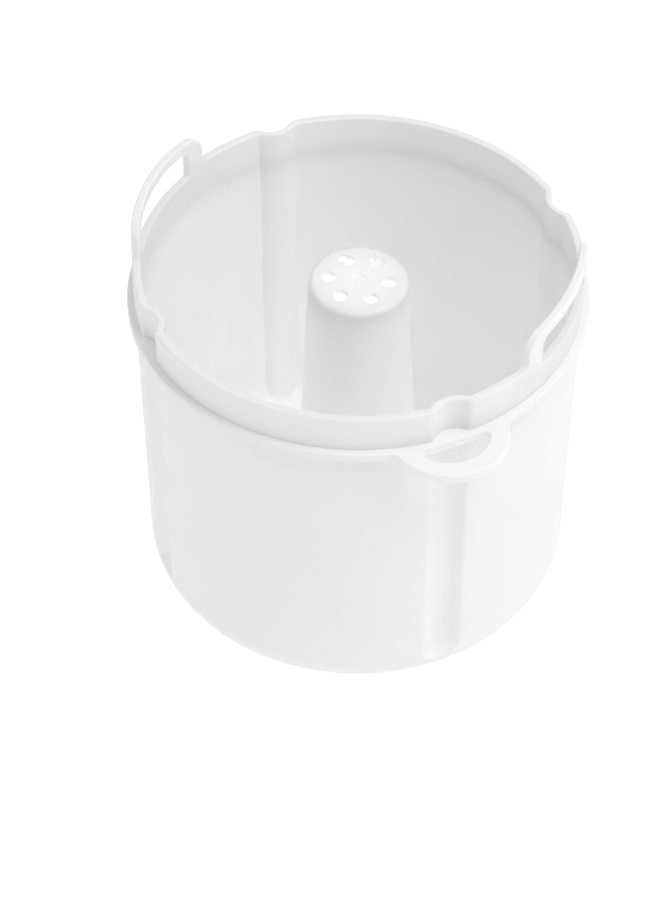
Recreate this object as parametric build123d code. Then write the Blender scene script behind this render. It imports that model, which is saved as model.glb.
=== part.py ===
from build123d import *
import os

# A rice and pasta basket that stands inside the bowl of a small food steamer.
# Millimetres. Z is up, the origin is on the standing surface in the middle of the base,
# and +X runs through the middle of the right-hand lifting handle.

# The drum
rim_height = 112.6          # standing surface to the top of the rim
rim_diameter = 125.2        # outside, at the rim
wall_draft = 1.3            # how much smaller the outside radius is at the base than at the rim
wall = 2.4                  # thickness of the drum's wall, the rim and the handles
floor_thickness = 2.0
base_bend = 12.0            # outside radius of the turn from the wall into the floor
lip_round = 0.6             # rounding of the rim's and the handles' edges

# The four upright flutes, hollow outside and bulging inside
flute_angles = (45, 135, 225, 315)
flute_radius = 6.8          # of the hollow outside face
flute_depth = 2.9
flute_web = 1.8             # thickness of the wall behind the hollow
flute_shoulder = 2.0        # rounding between the outside wall and the hollow
bulge_shoulder = 1.0        # rounding between the inside wall and the bulge
flute_foot = 14.0           # height at which the hollow starts to run out, with a round end

# The flange that the basket hangs by
flange_top = 101.5
flange_thickness = 2.8
flange_overhang = 2.0       # how far it stands out from the wall
flange_round = 0.5

# The lifting tab on the flange
tab_angle = -45
tab_radius = 16.3           # of its round outline
tab_inset = 2.1             # from the rim's outside in to the middle of that outline
tab_blend = 4.0             # hollow rounding where it leaves the flange
slot_radius = 11.2          # of the finger slot's curved side
slot_offset = 1.4           # from the rim's outside out to the slot's straight side
slot_corner = 1.5

# The two upright handle loops, in line with the wall
handle_rise = 11.4          # from the rim to the top of the loop
handle_width = 45.2         # across the loop's outside
handle_offset = -1.0        # of the loop's middle along Y
handle_crown = 1.3          # how much lower the loop's ends are than its middle
handle_corner = 6.2
handle_bar = 3.5            # height of the bar along the top
handle_post = 5.8           # width of the two uprights
foot_blend = 2.5            # hollow rounding where an upright meets the rim
opening_sink = 2.3          # how far the loop's opening reaches below the rim
opening_corner = 3.0
opening_foot_corner = 1.0   # small rounding in the opening's two lower corners
handle_seat = 4.5           # how far the handle's own region reaches below the rim
handle_margin = 6.0         # and how far its wedge opens beyond the feet, at the rim's radius along X

# The steam chimney in the middle
chimney_height = 105.0      # standing surface to the flat top
chimney_top_diameter = 27.8
chimney_base_diameter = 37.8
chimney_shoulder = 1.7      # rounding at the top, outside
ceiling_round = 1.0         # hollow rounding at the top, inside
chimney_root = 2.0          # hollow rounding where it meets the floor
root_flat = 1.0             # width of flat floor that belongs to the root, and to the drum's bend
chimney_wall = 1.5
cap_thickness = 1.5
cap_skirt = 3.0             # height of the cap, with the top of the tube's wall
mouth_round = 0.6           # of the open edge underneath
vent_count = 6
vent_first_angle = 15
vent_diameter = 4.3
vent_circle_radius = 8.4
gate_diameter = 4.4         # shallow dimple in the middle of the cap, with a small nub
gate_depth = 0.4
gate_nub_diameter = 1.3

total_height = rim_height + handle_rise
tab_centre = rim_diameter / 2 - tab_inset
slot_side = rim_diameter / 2 + slot_offset
lip = min(lip_round, 0.4 * wall)
beyond = 10.0               # how far cutting shapes run past what they cut
big = rim_diameter + 2 * tab_radius + beyond


def outside_radius(height):
    """Outside radius of the drafted wall at a height."""
    return rim_diameter / 2 - wall_draft * (1 - height / rim_height)


def chimney_radius(height):
    """Outside radius of the chimney's cone at a height."""
    share = height / chimney_height
    return chimney_base_diameter / 2 * (1 - share) + chimney_top_diameter / 2 * share


def corner(sketch, x, y):
    """The sketch's vertex nearest to a point."""
    return sketch.vertices().sort_by_distance((x, y, 0))[0]


def slab(low, high):
    """Everything between two heights."""
    return Pos(0, 0, low) * Box(2 * big, 2 * big, high - low, align=(Align.CENTER, Align.CENTER, Align.MIN))


def drum_form(inset, floor_level, bend):
    """Solid of revolution inside the drafted wall, moved in by inset, above a floor level."""
    top = total_height + beyond
    foot = outside_radius(floor_level) - inset
    head = outside_radius(top) - inset
    section = Polygon((0, floor_level), (foot, floor_level), (head, top), (0, top), align=None)
    section = fillet(corner(section, foot, floor_level), bend)
    return revolve(Plane.XZ * section, Axis.Z)


def flute_bars(radius, foot):
    """Four bars that stand in the flutes, lean with the wall's draft and end round at the foot."""
    high = total_height + 2 * beyond
    out = flute_radius - flute_depth
    lean = Plane(
        origin=(outside_radius(foot) + out, 0, foot),
        z_dir=(outside_radius(high) - outside_radius(foot), 0, high - foot),
    )
    bar = extrude(lean * Circle(radius), high - foot) + lean * Sphere(radius)
    return [Rot(0, 0, angle) * bar for angle in flute_angles]


def fluted_form(inset, floor_level, bend, grow, shoulder, foot):
    """The drum form with flutes, grown by grow, pressed into it and their edges rounded."""
    form = drum_form(inset, floor_level, bend) - flute_bars(flute_radius + grow, foot)
    pressed = form.faces().filter_by(GeomType.CYLINDER) + form.faces().filter_by(GeomType.SPHERE)
    return fillet([e for f in pressed for e in f.edges() if is_flute_edge(e)], shoulder)


def is_flute_edge(edge):
    """True for the edges between the wall and a flute, not those across a flute or above the rim."""
    box = edge.bounding_box()
    return box.min.Z < rim_height and box.size.Z > flute_web


def handle_view():
    """Side view of the shell along X: drum, two-legged handle loop and its opening."""
    half = handle_width / 2
    end = total_height - handle_crown
    low = rim_height - beyond
    crown = ThreePointArc((half, end), (0, total_height), (-half, end))
    loop = make_face(Polyline((-half, end), (-half, low), (half, low), (half, end)) + crown)
    drum = Pos(0, -beyond) * Rectangle(big, rim_height + beyond, align=(Align.CENTER, Align.MIN))
    view = loop + drum
    for side in (-half, half):
        view = fillet(corner(view, side, end), handle_corner)
        view = fillet(corner(view, side, rim_height), foot_blend)
    return Pos(handle_offset, 0) * (view - opening_view())


def opening_view():
    """Side view of a handle's opening."""
    half = handle_width / 2 - handle_post
    low = rim_height - opening_sink
    top = total_height - handle_bar
    end = top - handle_crown * (2 * half / handle_width) ** 2
    crown = ThreePointArc((half, end), (0, top), (-half, end))
    view = make_face(Polyline((-half, end), (-half, low), (half, low), (half, end)) + crown)
    for side in (-half, half):
        view = fillet(corner(view, side, end), opening_corner)
        view = fillet(corner(view, side, low), opening_foot_corner)
    return view


def is_through(edge):
    """True for the short edges that cross the wall's thickness along X."""
    return edge.geom_type == GeomType.LINE and abs((edge % 0.5).X) > 0.99


def round_lip(shell):
    """Round the edges of the rim and of the handles, inside and outside."""
    low = rim_height - opening_sink - lip
    edges = [e for e in shell.edges() if e.bounding_box().min.Z > low and not is_through(e)]
    return fillet(edges, lip)


def make_shell():
    """The drum's wall, bend, rim and handles in one, before it is parted into its regions."""
    outer = fluted_form(0, 0, base_bend, 0, flute_shoulder, flute_foot)
    inner = fluted_form(wall, floor_thickness, base_bend - floor_thickness, flute_web, bulge_shoulder, -beyond)
    shell = (outer - inner) & extrude(Plane.YZ * handle_view(), big, both=True)
    return round_lip(shell), outer


def make_plate(outer):
    """The flange with its tab and finger slot in one flat plate around the outside of the drum."""
    outline = Circle(outside_radius(flange_top) + flange_overhang) + Pos(tab_centre, 0) * Circle(tab_radius)
    outline = fillet([v for v in outline.vertices() if abs(v.Y) > slot_corner], tab_blend)
    slot = Pos(tab_centre, 0) * Circle(slot_radius) & half_space(slot_side)
    outline -= fillet(slot.vertices(), slot_corner)
    plate = Pos(0, 0, flange_top - flange_thickness) * extrude(outline, flange_thickness)
    plate = fillet([e for f in plate.faces().filter_by(Axis.Z) for e in f.edges()], flange_round)
    return Rot(0, 0, tab_angle) * plate - outer


def half_space(start):
    """A flat rectangle that stands for everything beyond start along X."""
    return Pos(start, 0) * Rectangle(big, 2 * big, align=(Align.MIN, Align.CENTER))


def make_chimney():
    """The tapered tube, its root in the floor and its closed top, in one."""
    foot = chimney_radius(0)
    ring = root_radius()
    ceiling = chimney_height - cap_thickness
    head = chimney_radius(chimney_height)
    section = Polygon(
        (foot - chimney_wall, 0),
        (ring, 0),
        (ring, floor_thickness),
        (chimney_radius(floor_thickness), floor_thickness),
        (head, chimney_height),
        (0, chimney_height),
        (0, ceiling),
        (chimney_radius(ceiling) - chimney_wall, ceiling),
        align=None,
    )
    section = fillet(corner(section, foot - chimney_wall, 0), mouth_round)
    section = fillet(corner(section, chimney_radius(floor_thickness), floor_thickness), chimney_root)
    section = fillet(corner(section, head, chimney_height), chimney_shoulder)
    section = fillet(corner(section, chimney_radius(ceiling) - chimney_wall, ceiling), ceiling_round)
    return revolve(Plane.XZ * section, Axis.Z)


def root_radius():
    """Radius at which the chimney's root ends and the flat floor starts."""
    return chimney_radius(floor_thickness) + chimney_root + root_flat


def floor_radius():
    """Radius at which the flat floor ends and the drum's bend starts."""
    return outside_radius(0) - base_bend - root_flat


def make_vents():
    """The cutters for the vents and for the dimple that the gate leaves around its nub."""
    vent = Pos(vent_circle_radius, 0, chimney_height) * Cylinder(vent_diameter / 2, 4 * cap_thickness)
    vents = [Rot(0, 0, vent_first_angle + turn * 360 / vent_count) * vent for turn in range(vent_count)]
    dimple = Cylinder(gate_diameter / 2, 2 * gate_depth) - Cylinder(gate_nub_diameter / 2, 2 * gate_depth)
    return vents + [Pos(0, 0, chimney_height) * dimple]


def handle_block(turn):
    """The wedge of space around one handle, from below its opening upwards."""
    width = handle_width + 2 * (foot_blend + handle_margin)
    wedge = Polygon((0, 0), (rim_diameter, -width), (rim_diameter, width), align=None)
    return Rot(0, 0, turn) * Pos(0, 0, rim_height - handle_seat) * extrude(wedge, big)


def make_parts():
    """Every region of the basket by its name, each a closed solid that meets its neighbours."""
    shell, outer = make_shell()
    plate = make_plate(outer)
    chimney = make_chimney()
    flat = slab(0, floor_thickness) & (Cylinder(floor_radius(), big) - Cylinder(root_radius(), big))
    handles = {"handle_right": handle_block(0), "handle_left": handle_block(180)}
    beyond_slot = Rot(0, 0, tab_angle) * extrude(half_space(slot_side), big)
    cap_seam = chimney_height - cap_skirt
    parts = {
        "drum_wall": shell & slab(0, flange_top) - Cylinder(floor_radius(), 2 * base_bend),
        "bowl_floor": flat,
        "rim_collar": (shell & slab(flange_top, big)) - list(handles.values()),
        "rest_flange": plate - beyond_slot,
        "lifting_tab": plate & beyond_slot,
        "steam_chimney": chimney & slab(0, cap_seam),
        "chimney_cap": (chimney & slab(cap_seam, big)) - make_vents(),
    }
    for name, block in handles.items():
        parts[name] = shell & block
    return parts


os.makedirs("parts", exist_ok=True)
for name, part in make_parts().items():
    part.label = name
    export_step(part, f"parts/{name}.step")
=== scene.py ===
from math import cos, radians, sin

import bmesh
import bpy
from mathutils import Matrix, Vector


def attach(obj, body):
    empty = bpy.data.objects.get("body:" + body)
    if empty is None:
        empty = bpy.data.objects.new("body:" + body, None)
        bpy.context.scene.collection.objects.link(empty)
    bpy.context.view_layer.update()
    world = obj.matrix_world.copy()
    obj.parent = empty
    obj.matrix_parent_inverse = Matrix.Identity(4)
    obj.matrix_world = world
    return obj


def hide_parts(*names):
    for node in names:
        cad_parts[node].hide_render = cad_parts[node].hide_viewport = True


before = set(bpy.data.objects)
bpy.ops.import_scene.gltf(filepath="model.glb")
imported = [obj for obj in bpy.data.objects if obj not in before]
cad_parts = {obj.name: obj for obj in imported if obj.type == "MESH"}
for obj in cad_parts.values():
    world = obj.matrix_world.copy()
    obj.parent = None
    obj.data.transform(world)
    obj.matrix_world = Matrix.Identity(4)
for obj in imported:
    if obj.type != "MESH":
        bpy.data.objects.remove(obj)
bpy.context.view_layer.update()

MM = 0.001

# The camera looks down into the basket from the front, a little to the right.
CAMERA_AZIMUTH = 21.3
CAMERA_ELEVATION = 45.15
CAMERA_ROLL = 0.59
CAMERA_TARGET = (0, 0, 60.5 * MM)
CAMERA_DISTANCE = 0.8443
CAMERA_LENS = 117.0
CAMERA_SHIFT = (-0.03072, -0.0646)
CAMERA_CLIP = (0.05, 20)

# The soft lights: where each stands, how wide its square face is, and its power in watts.
LIGHT_TARGET = (0, 0, 60 * MM)
KEY_LIGHT = {"place": (0.95, 0.12, 0.75), "width": 0.7, "watts": 1.35}
FILL_LIGHT = {"place": (-0.7, -0.45, 0.85), "width": 0.7, "watts": 0.5}
TOP_LIGHT = {"place": (0.5, -0.02, 1.05), "width": 0.45, "watts": 3.9}
CHIMNEY_LAMP = {"place": (0, 0, 1 * MM), "width": 20 * MM, "watts": 0.025}
TENT_STRENGTH = 0.63
LIGHT_BOUNCES = 16           # enough for light to reach the bottom of a deep white basket

TABLE_WIDTH = 6.0
TABLE_ROUGHNESS = 0.9
TABLE_GLOW = 0.87

# Polypropylene.
REFRACTIVE_INDEX = 1.49
SATIN_ROUGHNESS = (0.36, 0.50)
TRANSLUCENT_SHARE = 0.21
FLOW_MARK_WIDTH = 25 * MM
GRAIN_WIDTH = 0.7 * MM
GRAIN_DEPTH = 0.05 * MM
GRAIN_STRENGTH = 0.08

WELD_DISTANCE = 0.002 * MM
CREASE_ANGLE = 38            # degrees, above which an edge stays crisp


def linear(value):
    """One sRGB channel, 0 to 255, as linear light."""
    value /= 255
    return value / 12.92 if value <= 0.04045 else ((value + 0.055) / 1.055) ** 2.4


def colour(text):
    """An sRGB hex value as a linear colour."""
    return tuple(linear(int(text[k:k + 2], 16)) for k in (1, 3, 5)) + (1.0,)


def add_node(tree, kind, settings=None, values=None, links=None):
    """A node with its settings, its input values and what feeds its inputs."""
    node = tree.nodes.new(kind)
    for name, value in (settings or {}).items():
        setattr(node, name, value)
    for name, value in (values or {}).items():
        node.inputs[name].default_value = value
    for name, source in (links or {}).items():
        tree.links.new(source, node.inputs[name])
    return node


def toward(place, target):
    """The turn that points an object's -Z from a place at a target."""
    return (Vector(target) - Vector(place)).to_track_quat("-Z", "Y")


def make_camera():
    """A long lens that looks down into the open mouth."""
    azimuth, elevation = radians(CAMERA_AZIMUTH), radians(CAMERA_ELEVATION)
    back = Vector((sin(azimuth) * cos(elevation), -cos(azimuth) * cos(elevation), sin(elevation)))
    data = bpy.data.cameras.new("camera")
    data.lens = CAMERA_LENS
    data.shift_x, data.shift_y = CAMERA_SHIFT
    data.clip_start, data.clip_end = CAMERA_CLIP
    camera = bpy.data.objects.new("camera", data)
    bpy.context.scene.collection.objects.link(camera)
    camera.location = Vector(CAMERA_TARGET) + back * CAMERA_DISTANCE
    camera.rotation_mode = "QUATERNION"
    aim = toward(camera.location, CAMERA_TARGET).to_matrix().to_4x4()
    roll = Matrix.Rotation(radians(CAMERA_ROLL), 4, "Z")
    camera.rotation_quaternion = (aim @ roll).to_quaternion()
    bpy.context.scene.camera = camera


def make_softbox(name, place, width, watts):
    """A square soft light that faces the middle of the basket."""
    data = bpy.data.lights.new(name, "AREA")
    data.shape = "SQUARE"
    data.size = width
    data.energy = watts
    light = bpy.data.objects.new(name, data)
    bpy.context.scene.collection.objects.link(light)
    light.location = place
    light.rotation_mode = "QUATERNION"
    light.rotation_quaternion = toward(place, LIGHT_TARGET)


def make_studio():
    """A white tent with soft lights on the right, on the left and above, and a lamp in the chimney."""
    scene = bpy.context.scene
    scene.view_settings.view_transform = "Standard"
    scene.cycles.max_bounces = scene.cycles.diffuse_bounces = LIGHT_BOUNCES
    world = bpy.data.worlds.new("white_tent")
    scene.world = world
    world.use_nodes = True
    tent = world.node_tree.nodes["Background"]
    tent.inputs["Color"].default_value = colour("#ffffff")
    tent.inputs["Strength"].default_value = TENT_STRENGTH
    make_softbox("key_softbox", **KEY_LIGHT)
    make_softbox("fill_softbox", **FILL_LIGHT)
    make_softbox("top_softbox", **TOP_LIGHT)
    # The lamp stands in the open foot of the chimney, so that the vents in its cap show bright.
    make_softbox("chimney_lamp", **CHIMNEY_LAMP)


def make_table():
    """The pale floor: opal acrylic that is bright by light from below, so that it takes no deep shadow."""
    half = TABLE_WIDTH / 2
    corners = [(-half, -half, 0), (half, -half, 0), (half, half, 0), (-half, half, 0)]
    mesh = bpy.data.meshes.new("light_table")
    mesh.from_pydata(corners, [], [(0, 1, 2, 3)])
    table = bpy.data.objects.new("light_table", mesh)
    bpy.context.scene.collection.objects.link(table)
    material = bpy.data.materials.new("backlit_acrylic")
    material.use_nodes = True
    shader = material.node_tree.nodes["Principled BSDF"]
    # The sheet itself is mid grey: the light under it makes it pale.
    shader.inputs["Base Color"].default_value = colour("#7c7c7c")
    shader.inputs["Roughness"].default_value = TABLE_ROUGHNESS
    shader.inputs["Emission Color"].default_value = colour("#ffffff")
    shader.inputs["Emission Strength"].default_value = TABLE_GLOW
    mesh.materials.append(material)


def make_polypropylene():
    """White polypropylene from a fine-blasted steel mould: satin, with soft highlights."""
    material = bpy.data.materials.new("moulded_white_polypropylene")
    material.use_nodes = True
    tree = material.node_tree
    shader = tree.nodes["Principled BSDF"]
    place = add_node(tree, "ShaderNodeTexCoord").outputs["Object"]

    # Flow marks: very faint clouds, some 25 mm across, where the melt cooled a little sooner.
    flow = add_node(
        tree,
        "ShaderNodeTexNoise",
        values={"Scale": 1 / FLOW_MARK_WIDTH, "Detail": 2.0},
        links={"Vector": place},
    )
    tint = add_node(tree, "ShaderNodeMix", {"data_type": "RGBA"}, links={"Factor": flow.outputs["Fac"]})
    tint.inputs["A"].default_value = colour("#f9f9f9")
    tint.inputs["B"].default_value = colour("#fcfcfc")
    tree.links.new(tint.outputs["Result"], shader.inputs["Base Color"])

    # Blasted finish: the grit is 0.1 mm, too fine to see, so it is drawn at 0.7 mm as a soft grain.
    grain = add_node(
        tree,
        "ShaderNodeTexNoise",
        values={"Scale": 1 / GRAIN_WIDTH, "Detail": 3.0},
        links={"Vector": place},
    )
    smoothest, roughest = SATIN_ROUGHNESS
    gloss = add_node(
        tree,
        "ShaderNodeMapRange",
        values={"To Min": smoothest, "To Max": roughest},
        links={"Value": grain.outputs["Fac"]},
    )
    tree.links.new(gloss.outputs["Result"], shader.inputs["Roughness"])
    bump = add_node(
        tree,
        "ShaderNodeBump",
        values={"Strength": GRAIN_STRENGTH, "Distance": GRAIN_DEPTH},
        links={"Height": grain.outputs["Fac"]},
    )
    tree.links.new(bump.outputs["Normal"], shader.inputs["Normal"])
    shader.inputs["IOR"].default_value = REFRACTIVE_INDEX

    # Thin polypropylene lets some light through, which keeps the inside of the basket bright.
    # A small share is enough: a large one would draw a dark ring where the flange meets the wall.
    glow = add_node(tree, "ShaderNodeBsdfTranslucent", links={"Color": tint.outputs["Result"]})
    body = add_node(tree, "ShaderNodeMixShader", values={"Fac": TRANSLUCENT_SHARE})
    tree.links.new(shader.outputs["BSDF"], body.inputs[1])
    tree.links.new(glow.outputs["BSDF"], body.inputs[2])
    tree.links.new(body.outputs["Shader"], tree.nodes["Material Output"].inputs["Surface"])
    return material


def make_moulding(name, node, material):
    """A node's own shape with its triangles welded, so that light runs smoothly over its curves."""
    form = bmesh.new()
    form.from_mesh(node.data)
    bmesh.ops.remove_doubles(form, verts=form.verts, dist=WELD_DISTANCE)
    form.verts.index_update()
    mesh = bpy.data.meshes.new(f"moulded_{name}")
    points = [vertex.co.copy() for vertex in form.verts]
    faces = [[vertex.index for vertex in face.verts] for face in form.faces]
    mesh.from_pydata(points, [], faces)
    form.free()
    mesh.shade_smooth()
    mesh.set_sharp_from_angle(angle=radians(CREASE_ANGLE))
    mesh.materials.append(material)
    piece = bpy.data.objects.new(f"moulded_{name}", mesh)
    bpy.context.scene.collection.objects.link(piece)
    weigh = piece.modifiers.new("even_shading", "WEIGHTED_NORMAL")
    weigh.mode = "FACE_AREA_WITH_ANGLE"
    weigh.keep_sharp = True
    evaluated = piece.evaluated_get(bpy.context.evaluated_depsgraph_get())
    shaded = bpy.data.meshes.new_from_object(evaluated)
    piece.modifiers.clear()
    piece.data = shaded
    shaded.name = f"moulded_{name}"
    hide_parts(name)
    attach(piece, "root")


make_camera()
make_studio()
make_table()
plastic = make_polypropylene()
for name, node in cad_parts.items():
    make_moulding(name, node, plastic)
